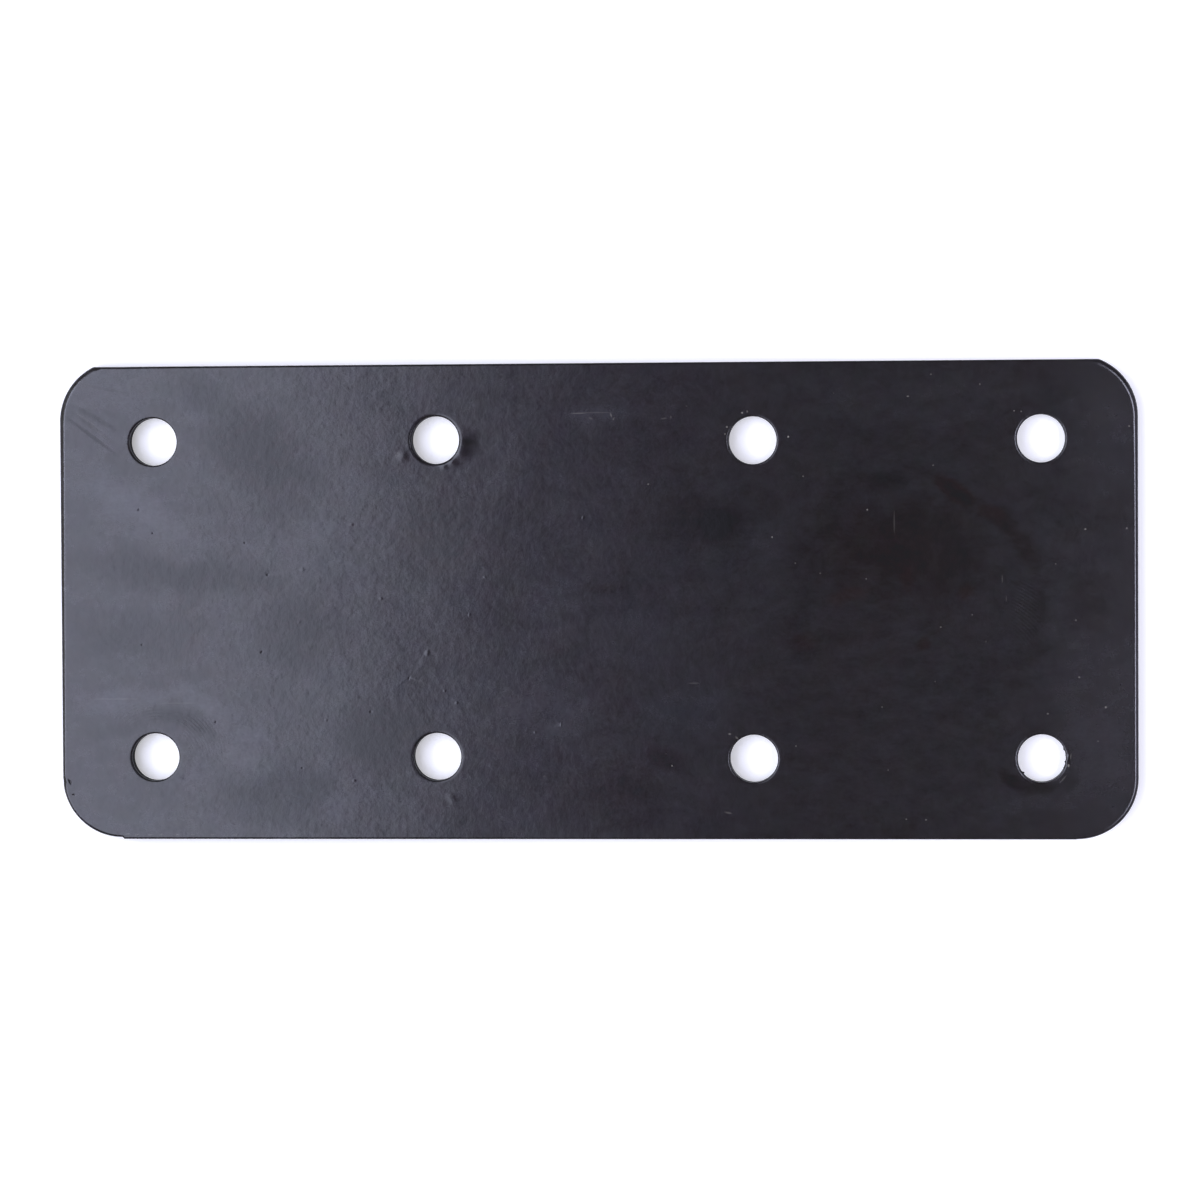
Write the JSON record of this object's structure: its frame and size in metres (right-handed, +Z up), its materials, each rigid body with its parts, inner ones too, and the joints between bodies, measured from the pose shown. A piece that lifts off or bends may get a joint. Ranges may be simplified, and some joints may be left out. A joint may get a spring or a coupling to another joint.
{
  "type": "garden sleeper support plate",
  "caption": "Flat steel plate, powder coated black, with rounded corners and rows of plain screw holes, for joining and supporting timber garden sleepers.",
  "frame": {"origin": "middle of the underside, which lies on the surface that the plate rests on", "axes": "+X along the plate, +Y across it towards the edge with the nipped corners, +Z up out of the punched face"},
  "size_m": [0.17, 0.075, 0.003],
  "materials": {
    "black_powder_coat": "semi-gloss black powder coat with a fine orange peel, a few pits and pale handling scuffs"
  },
  "bodies": {
    "root": {"support_plate": "black_powder_coat"}
  },
  "joints": []
}
